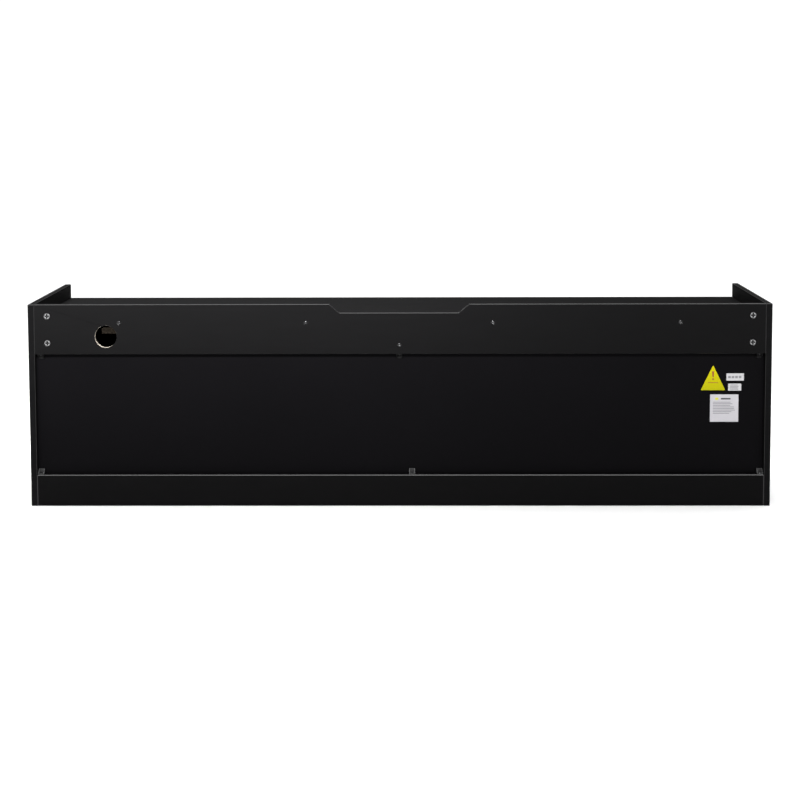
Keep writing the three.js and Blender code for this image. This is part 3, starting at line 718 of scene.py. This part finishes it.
# -------- cabinet
def dress_cabinet():
    uprights = [
        "side_panel_left", "side_panel_right", "divider_left", "divider_right", "niche_post",
    ]
    levels = ["top_board", "bottom_board", "centre_shelf", "side_shelf_left", "side_shelf_right"]
    dress(board_finish("laminate_upright", 0, face_rough=UPRIGHT_FACE_ROUGH), *uprights)
    dress(board_finish("laminate_level", 2, gloss=LEVEL_GLOSS), *levels)
    dress(board_finish("laminate_across", 1), "front_plinth", "rear_plinth")
    dress(board_finish("laminate_rail", 1, raw_core=True), "rear_top_rail")
    arris = arris_finish()
    for node in uprights + levels + ["front_plinth", "rear_top_rail"]:
        ease(node, EASED["board"], 1, arris)
    ease("rear_plinth", EASED["rear_plinth"], 1, arris)
    dress(varied(
        "hardboard", (0.0024, 0.0022, 0.0027), 0.5, patch=4, grain=900, spread=0.2, bump=0.00005,
        Specular_IOR_Level=0.03,
    ), "back_panel")


def dress_fittings():
    cams = [f"cam_lock_{side}_{level}" for side in SIDES for level in ("lower", "upper")]
    places = ("left", "middle", "right")
    lower_clips, upper_clips = (
        [f"panel_clip_{level}_{place}" for place in places] for level in ("lower", "upper")
    )
    catches = ["door_catch_left", "door_catch_right"]
    dress(zinc_plate("zinc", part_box("cam_lock_left_upper")[1].y), *cams)
    # The upper clips are the lower clips' grey plastic, painted near black with less shine as
    # painted shade under the rail.
    upper_clip_shade = plastic("clip_painted_shade", (0.0035, 0.0035, 0.0037), 0.55, Specular_IOR_Level=0.1)
    grey = plastic("grey_plastic", (0.014, 0.014, 0.0145), 0.5)
    dress(upper_clip_shade, *upper_clips)
    dress(grey, *lower_clips, *catches, "spindle_bush")
    rim = varied("cam_rim", (0.03, 0.03, 0.031), 0.5, patch=200, grain=2500, Metallic=1.0)
    for node in cams:
        ease(node, EASED["cam"], 1, rim)
    for node in lower_clips + upper_clips + catches:
        ease(node, EASED["clip"])

    black_zinc = varied(
        "black_zinc", (0.07, 0.07, 0.072), 0.24, patch=300, grain=2500, spread=0.15,
        bump=0.00001, Metallic=1.0,
    )
    for i, (x, z) in enumerate(RAIL_SCREWS):
        screw("rail", f"rail_screw_{i + 1}", (x, REAR - RAIL_SCREW_SUNK, z), (0, 1, 0),
              0.4 + 1.1 * i, black_zinc, rings=dome_rings)
    for node in lower_clips + upper_clips:
        low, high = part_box(node)
        upper = node in upper_clips
        seat = high.z - CLIP_SCREW["from_end"] if upper else low.z + CLIP_SCREW["from_end"]
        place = ((low.x + high.x) / 2, low.y + CLIP_SCREW["from_front"], seat)
        screw("clip", f"{node}_screw", place, (0, 0, -1 if upper else 1), 0.6, black_zinc)


# -------- stickers
def label_print(name, node, marks, finish):
    """Printed boxes on a label, in shares of its width and height from its lower left."""
    low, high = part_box(node)
    wide, tall = high.x - low.x, high.z - low.z

    def make(bm):
        for left, bottom, right, top in marks:
            # Seen from behind, left is +X.
            slab(bm, (high.x - right * wide, high.y - PRINT_ROOT, low.z + bottom * tall),
                 (high.x - left * wide, high.y + PRINT_LIFT, low.z + top * tall))
    new_piece(name, make, [finish], smooth=False)


def yellow_film(low, high):
    """Yellow printed film, a little paler towards the top."""
    f = Finish("label_yellow", Specular_IOR_Level=0.1)
    height_share = f.remap(f.split()[2], low.z, high.z, 0, 1)
    ink = f.blend(height_share, (0.35, 0.34, 0.001), (0.52, 0.46, 0.0015))
    grain = f.remap(f.noise(900, 3), 0.35, 0.65, 0, 0.25)
    f.colour(grain, ink, (0.3, 0.27, 0.001))
    f.roughness(f.noise(1500, 2), 0.36, 0.46)
    return f.material


def dress_labels():
    low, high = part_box("label_triangle")
    dress(yellow_film(low, high), "label_triangle")
    dress(paper("label_white", (0.43, 0.425, 0.435), 0.05), "label_strip", "label_small")
    dress(paper("label_pale", (0.43, 0.42, 0.445), 0.06), "label_square")
    grey_ink = varied("ink_grey", (0.17, 0.17, 0.18), 0.6, spread=0.1)
    dark_ink = varied("ink_dark", (0.05, 0.05, 0.055), 0.6, spread=0.1)
    amber_ink = varied("ink_amber", (0.22, 0.05, 0.004), 0.55, spread=0.15)
    lime_ink = varied("ink_lime", (0.5, 0.5, 0.03), 0.55, spread=0.1)

    rng = random.Random(4)
    blocks = [(0.1 + 0.2 * i, 0.34, 0.25 + 0.2 * i, 0.64) for i in range(4)]
    label_print("label_strip_print", "label_strip", blocks, grey_ink)
    lines = [(0.14, 0.16 + 0.2 * i, rng.uniform(0.72, 0.88), 0.25 + 0.2 * i) for i in range(4)]
    label_print("label_small_print", "label_small", lines, grey_ink)
    heading, patch = (0.38, 0.815, 0.72, 0.87), (0.18, 0.8, 0.29, 0.885)
    label_print("label_square_heading", "label_square", [heading], dark_ink)
    label_print("label_square_patch", "label_square", [patch], lime_ink)
    lines = [
        (0.1, 0.3 + 0.058 * i, rng.uniform(0.66, 0.9), 0.322 + 0.058 * i) for i in range(8)
    ]
    label_print("label_square_print", "label_square", lines, grey_ink)

    # A plain tapered bar over a dot, for "take care".
    middle, face = (low.x + high.x) / 2, high.y
    foot, head, dot = (high.z - share * (high.z - low.z) for share in (0.46, 0.23, 0.55))
    foot_half, head_half, dot_radius = 0.0016, 0.0026, 0.0022

    def mark(bm):
        bar = [(foot_half, foot), (head_half, head), (-head_half, head), (-foot_half, foot)]
        plate(bm, [(middle + x, z) for x, z in bar], face + PRINT_LIFT, face - PRINT_ROOT)
        stand = aimed((middle, face - PRINT_ROOT, dot), (0, 1, 0))
        turned(bm, [(dot_radius, 0), (dot_radius, PRINT_LIFT)], stand, 20)
    new_piece("label_triangle_mark", mark, [amber_ink], smooth=False)
    underline = (0.28, 0.295, 0.72, 0.32)
    label_print("label_triangle_print", "label_triangle", [underline], amber_ink)


# -------- doors
def rounded_frame(bm, outer, inner, corner, y0, y1, steps=6):
    """A flat frame with a round-cornered window. Boxes are left, right, bottom and top."""
    def rim(y):
        corners, window = [], []
        for k, (sx, sz) in enumerate(((1, 1), (-1, 1), (-1, -1), (1, -1))):
            right, top = int(sx > 0), 2 + int(sz > 0)
            corners.append(bm.verts.new((outer[right], y, outer[top])))
            x, z = inner[right] - sx * corner, inner[top] - sz * corner
            arc = [math.pi / 2 * (k + i / steps) for i in range(steps + 1)]
            window.append([
                bm.verts.new((x + corner * math.cos(a), y, z + corner * math.sin(a)))
                for a in arc
            ])
        return corners, window

    (front, front_window), (back, back_window) = rim(y0), rim(y1)
    for corners, window in ((front, front_window), (back, back_window)):
        for k in range(4):
            n = (k + 1) % 4
            bm.faces.new((corners[k], corners[n], window[n][0], window[k][steps]))
            for low, high in zip(window[k], window[k][1:]):
                bm.faces.new((corners[k], high, low))
    bridge(bm, front, back)
    bridge(bm, sum(front_window, []), sum(back_window, []))


def hardware_screws(node, side):
    """Where the set screws of a hinge clamp or a handle stand, in X and Z."""
    low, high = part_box(node)
    if "upper" in node:
        return [((low.x + high.x) / 2, high.z - CLAMP_SCREW)]
    if "lower" in node:
        return [((low.x + high.x) / 2, low.z + CLAMP_SCREW)]
    x = (high.x if side < 0 else low.x) + side * HANDLE_SCREW["from_edge"]
    middle = (low.z + high.z) / 2
    return [(x, middle + way * HANDLE_SCREW["from_middle"]) for way in (-1, 1)]


def dress_doors():
    glass = smoked_glass()
    border = border_print("door_border", (0.0035, 0.0035, 0.0037))
    nickel = brushed("satin_nickel", (0.46, 0.455, 0.445), 0.3, 2)
    steel = zinc_plate("set_screw")
    margin = DOOR_BORDER["margin"]
    for name, side in SIDES.items():
        body, pane = f"door_{name}", f"door_glass_{name}"
        dress(glass, pane)
        ease(pane, EASED["door_glass"])
        low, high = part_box(pane)
        outer = (low.x + margin, high.x - margin, low.z + margin, high.z - margin)
        window = (low.x + DOOR_BORDER["sides"], high.x - DOOR_BORDER["sides"],
                  low.z + DOOR_BORDER["bottom"], high.z - DOOR_BORDER["top"])
        y0, y1 = (high.y + depth for depth in DOOR_BORDER["film"])
        new_piece(f"door_border_{name}", lambda bm: rounded_frame(
            bm, outer, window, DOOR_BORDER["corner"], y0, y1,
        ), [border], body, smooth=False)
        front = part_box(f"door_hinge_{name}_upper")[0].y - 0.0001
        metal = [f"door_hinge_{name}_upper", f"door_hinge_{name}_lower", f"door_handle_{name}"]
        dress(nickel, *metal)
        for node in metal:
            ease(node, EASED["door_metal"])
            for i, (x, z) in enumerate(hardware_screws(node, side)):
                screw("door", f"{node}_screw_{i + 1}", (x, front, z), (0, -1, 0), 0.3, steel, body)


# -------- fireplace
def dress_fireplace():
    coat = powder_coat("black_steel", (0.0085, 0.0085, 0.0088))
    dress(coat, "case_shell", "firebox_ceiling", "fascia_strip", "outlet_louvre")
    ease("fascia_strip", EASED["fascia"])
    ease("outlet_louvre", EASED["louvre"])
    dress(clear_glass(), "front_glass")
    ease("front_glass", EASED["front_glass"])
    moulded = plastic("black_plastic", (0.02, 0.02, 0.021), 0.42, Specular_IOR_Level=0.35)
    buttons = ["button_power", "button_flame", "button_heat"]
    dress(moulded, *buttons, "cord_gland")
    for node in buttons:
        ease(node, EASED["button"], 3)
    dress(galvanised("sheet_steel"), "heater_duct", "blower_motor", "spindle_motor")
    bright = brushed("bright_aluminium", (0.8, 0.81, 0.83), 0.22, 0)
    dress(bright, "blower_impeller", "flame_spindle")
    dress(heating_ceramic(), "heater_element")
    dress(circuit_board(), "control_board", "flame_led_board", "ember_led_board")
    dress(flame_picture(), "flame_screen")
    dress(coal_finish("ember_bed", 2.0, glowing_top_only=True), "ember_bed")

    # The black printed border on the back of the front glass.
    margin, side = FIRE_BORDER["margin"], FIRE_BORDER["sides"]
    y0, y1 = (GLASS[1].y + depth for depth in FIRE_BORDER["film"])
    left, right = GLASS[0].x + margin, GLASS[1].x - margin
    bottom, top = GLASS[0].z + margin, GLASS[1].z - margin
    outer = (left, right, bottom, top)
    window = (left + side, right - side, bottom + FIRE_BORDER["bottom"], top - FIRE_BORDER["top"])

    def border(bm):
        def corners(box, y):
            left, right, bottom, top = box
            outline = ((left, bottom), (right, bottom), (right, top), (left, top))
            return [bm.verts.new((x, y, z)) for x, z in outline]
        loops = [corners(outer, y0), corners(window, y0), corners(window, y1), corners(outer, y1)]
        for a, b in zip(loops, loops[1:] + loops[:1]):
            bridge(bm, a, b)
    frit = border_print("glass_border", (0.004, 0.004, 0.0042))
    new_piece("front_glass_border", border, [frit], smooth=False)

    steel = varied("fascia_screw", (0.1, 0.1, 0.104), 0.35, patch=300, grain=2500, Metallic=1.0)
    across, up = FASCIA_SCREW["from_end"], FASCIA_SCREW["from_edge"]
    corners = [(x, z) for x in (FASCIA[0].x + across, FASCIA[1].x - across)
               for z in (FASCIA[0].z + up, FASCIA[1].z - up)]
    for i, (x, z) in enumerate(corners):
        screw("fascia", f"fascia_screw_{i + 1}", (x, FASCIA[0].y - FASCIA_SCREW["lift"], z),
              (0, -1, 0), 0.5 + i, steel)


# -------- display and buttons
def display_digits(bm, face):
    tall, wide, bar = DIGIT["tall"], DIGIT["wide"], DIGIT["bar"]
    for middle, names in TEMPERATURE:
        for name in names:
            across, up, level = SEGMENTS[name]
            x, z = middle + (across - 0.5) * wide, DIGIT["foot"] + up * tall
            if level:
                half_x, half_z = wide / 2 - bar * 0.7, bar / 2
            else:
                half_x, half_z = bar / 2, tall / 4 - bar * 0.5
            slab(bm, (x - half_x, face - DIGIT["lift"], z - half_z),
                 (x + half_x, face + DIGIT["root"], z + half_z))


def stroke(bm, middle, points, closed=False):
    """A printed line through points, given from the middle of a button's face."""
    ends = points[1:] + points[:1] if closed else points[1:]
    for (ax, az), (bx, bz) in zip(points, ends):
        step = Vector((bx - ax, bz - az)).normalized()
        along = step * STROKE["overlap"]
        side = Vector((-step.y, step.x)) * STROKE["half_width"]
        a, b = Vector((ax, az)) - along, Vector((bx, bz)) + along
        corners = (a + side, b + side, b - side, a - side)
        outline = [(middle.x + corner.x, middle.z + corner.y) for corner in corners]
        plate(bm, outline, middle.y - PRINT_LIFT, middle.y + PRINT_ROOT)


def power_sign(bm, middle):
    """A ring, open at the top, with a bar in the opening."""
    radius, gap, steps = POWER_SIGN["radius"], POWER_SIGN["gap"], POWER_SIGN["steps"]
    arc = [math.radians(gap + (360 - 2 * gap) * i / steps) for i in range(steps + 1)]
    stroke(bm, middle, [(radius * math.sin(a), radius * math.cos(a)) for a in arc])
    stroke(bm, middle, [(0, z) for z in POWER_SIGN["bar"]])


def flame_sign(bm, middle):
    stroke(bm, middle, FLAME_SIGN, closed=True)


def heat_sign(bm, middle):
    """Three wavy lines that rise side by side."""
    sway, foot, rise = HEAT_SIGN["sway"], HEAT_SIGN["foot"], HEAT_SIGN["rise"]
    for place in HEAT_SIGN["places"]:
        stroke(bm, middle, [(place + sway * math.sin(t), foot + rise * t) for t in range(7)])


def make_controls():
    """The display window with two lit digits, a plain sign on each button, a status light."""
    dark = varied("display_window", (0.006, 0.006, 0.007), 0.12, patch=40, grain=900)
    (x0, x1), (z0, z1) = DISPLAY["x"], DISPLAY["z"]
    face, back = (FASCIA[0].y + DISPLAY[key] for key in ("front", "back"))
    new_piece("display_window", lambda bm: slab(
        bm, (x0, face, z0), (x1, back, z1), EASED["display"],
    ), [dark])
    orange = lit("display_digits", (1.0, 0.32, 0.06), 5)
    new_piece("display_digits", lambda bm: display_digits(bm, face), [orange], smooth=False)

    white_ink = varied("button_marks", (0.55, 0.55, 0.56), 0.5, spread=0.08)
    for name, sign in (("power", power_sign), ("flame", flame_sign), ("heat", heat_sign)):
        low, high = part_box(f"button_{name}")
        middle = Vector(((low.x + high.x) / 2, low.y, (low.z + high.z) / 2))
        new_piece(f"button_{name}_sign", lambda bm: sign(bm, middle), [white_ink],
                  f"{name}_button", smooth=False)

    place = (STATUS_LIGHT["x"], FASCIA[0].y + STATUS_LIGHT["sunk"], STATUS_LIGHT["z"])
    red = lit("status_light", (0.9, 0.1, 0.04), 3)
    turned_piece("status_light", STATUS_LENS, aimed(place, (0, -1, 0)), 20, red)


# -------- logs and coals
def round_noise(along, across, angle, shift):
    """Noise on a cylinder, stretched along it and across it."""
    return noise.noise(
        Vector((along, across * math.cos(angle), across * math.sin(angle))) + shift
    )


def log_mesh(bm, length, thick, thin, rng):
    """A knotty, slightly bent log along X, with ragged ends cut across."""
    shift = Vector([rng.uniform(-9, 9) for _ in range(3)])
    knots = [
        (rng.uniform(-0.36, 0.36) * length, rng.uniform(0.2, 2.9), rng.uniform(0.1, 0.24))
        for _ in range(KNOTS)
    ]
    bow = rng.uniform(-0.006, 0.006)

    def surface(t, a, along):
        base = thick + (thin - thick) * t
        ridge = round_noise(along * 22, 7, a, shift)
        lump = round_noise(along * 14, 1.6, a, shift * 2)
        furrow = abs(round_noise(along * 11, 5, a, -shift))
        r = base * (0.94 + 0.07 * ridge + 0.08 * lump - 0.16 * max(0, 0.16 - furrow) / 0.16)
        for place, angle, size in knots:
            ahead = (along - place) / (base * 0.75)
            round_it = math.remainder(a - angle, TURN) / 0.55
            r += base * size * math.exp(-(ahead ** 2 + round_it ** 2) * 2.2)
        return r

    loops = []
    for i in range(LOG_STEPS + 1):
        t = i / LOG_STEPS
        along = (t - 0.5) * length
        ragged = RAGGED_END if i in (0, LOG_STEPS) else 0.0
        sag = bow * (1 - (2 * t - 1) ** 2)
        loop = []
        for j in range(LOG_AROUND):
            a = TURN * j / LOG_AROUND
            c, s = math.cos(a), math.sin(a)
            r = surface(t, a, along)
            slip = ragged * noise.noise(Vector((3 * c, 3 * s, i)) + shift)
            loop.append(bm.verts.new((along + slip, r * c + sag, r * s)))
        loops.append(loop)
    for low, high in zip(loops, loops[1:]):
        bridge(bm, low, high)
    for rim, out in ((loops[0], -1), (loops[-1], 1)):
        centre = sum((v.co for v in rim), Vector()) / LOG_AROUND
        rings = [rim]
        for share, depth in CUT_RINGS:
            ring = []
            for v in rim:
                rough = CUT_ROUGH * noise.noise(v.co * 190 * share)
                sunk = Vector((out * (rough - depth), 0, 0))
                ring.append(bm.verts.new(centre.lerp(v.co, share) + sunk))
            rings.append(ring)
        for ring_a, ring_b in zip(rings, rings[1:]):
            for face in bridge(bm, ring_a, ring_b):
                face.material_index = 1
        bm.faces.new(rings[-1]).material_index = 1


def make_logs():
    finishes = [bark_finish(), cut_wood_finish()]
    for k, (length, thick, thin, middle, turn, lean) in enumerate(LOGS):
        rng = random.Random(11 + k)
        log = new_piece(
            f"log_{k + 1}", lambda bm: log_mesh(bm, length, thick, thin, rng), finishes, None,
        )
        turned_by = Matrix.Rotation(math.radians(turn), 4, "Z")
        leaned_by = Matrix.Rotation(math.radians(-lean), 4, "Y")
        log.matrix_world = Matrix.Translation(middle) @ turned_by @ leaned_by
        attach(log, "console")
        if k == 0:
            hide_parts("log_set")


def make_coals():
    """A loose heap of broken coals between and in front of the logs."""
    rng = random.Random(7)
    low, high = BED
    count = COALS["full"]
    end, gap = COALS["from_end"], COALS["from_glass"]

    def make(bm):
        for _ in range(count):
            x = rng.uniform(low.x + end, high.x - end)
            y = low.y + gap + (high.y - low.y - 2 * gap) * rng.random() ** 1.4
            radius = rng.uniform(*COALS["radius"])
            heap = COALS["heap"] * max(0.0, noise.noise(Vector((x * 12, y * 20, 2.0))))
            middle = Vector((x, y, high.z + radius * 0.35 + heap))
            shift = Vector([rng.uniform(-50, 50) for _ in range(3)])
            turn = Euler([rng.uniform(0, 6.28) for _ in range(3)]).to_matrix()
            stretch = Matrix.Diagonal(
                (rng.uniform(0.8, 1.35), rng.uniform(0.75, 1.1), rng.uniform(0.6, 0.9))
            )
            verts = bmesh.ops.create_icosphere(bm, subdivisions=2, radius=radius)["verts"]
            for v in verts:
                n = v.co.normalized()
                facet = round(noise.noise(n * 1.7 + shift) * 3) / 3
                lump = 1 + 0.24 * facet + 0.14 * noise.noise(n * 4 + shift)
                v.co = turn @ (stretch @ (v.co * lump)) + middle
                v.co.y = min(max(v.co.y, GLASS[1].y + 0.0008), SCREEN[0].y - 0.0004)
    new_piece("ember_coals", make, [coal_finish("coals", 2.6)], smooth=False)


# -------- floor and light
def make_floor():
    f = Finish("floor", Specular_IOR_Level=0.2)
    f.colour(f.noise(3, 3), (0.9, 0.9, 0.9), (0.93, 0.93, 0.93))
    f.roughness(f.noise(40, 3), 0.7, 0.8)

    def make(bm):
        bmesh.ops.create_grid(bm, x_segments=8, y_segments=8, size=60)
    floor = new_piece("floor", make, [f.material], None)
    floor.location.z = -0.0002


def make_world():
    """A white backdrop that gives little light."""
    world = bpy.data.worlds.new("studio")
    bpy.context.scene.world = world
    world.use_nodes = True
    nodes, links = world.node_tree.nodes, world.node_tree.links
    background = nodes["Background"]
    seen = nodes.new("ShaderNodeLightPath").outputs["Is Camera Ray"]
    strength = nodes.new("ShaderNodeMapRange")
    strength.inputs["To Min"].default_value = WORLD_GLOW
    strength.inputs["To Max"].default_value = BACKDROP
    links.new(seen, strength.inputs["Value"])
    links.new(strength.outputs[0], background.inputs["Strength"])
    background.inputs["Color"].default_value = (1, 1, 1, 1)


def make_lamps():
    sun = bpy.data.lights.new("top_sun", "SUN")
    sun.energy = TOP_SUN["strength"]
    sun.angle = math.radians(TOP_SUN["angle"])
    bpy.context.collection.objects.link(bpy.data.objects.new("top_sun", sun))
    for name, (place, target, power, size, spread) in PANELS.items():
        data = bpy.data.lights.new(name, "AREA")
        data.energy = power
        data.shape = "RECTANGLE"
        data.size, data.size_y = size
        data.spread = math.radians(spread)
        lamp = bpy.data.objects.new(name, data)
        lamp.location = place
        lamp.visible_camera = False
        aim = Vector(target) - Vector(place)
        lamp.rotation_euler = aim.to_track_quat("-Z", "Y").to_euler()
        bpy.context.collection.objects.link(lamp)


make_camera()
dress_cabinet()
dress_fittings()
dress_labels()
dress_doors()
dress_fireplace()
make_controls()
make_logs()
make_coals()
make_floor()
make_world()
make_lamps()
view = bpy.context.scene.view_settings
view.view_transform = "Standard"
view.look = "None"
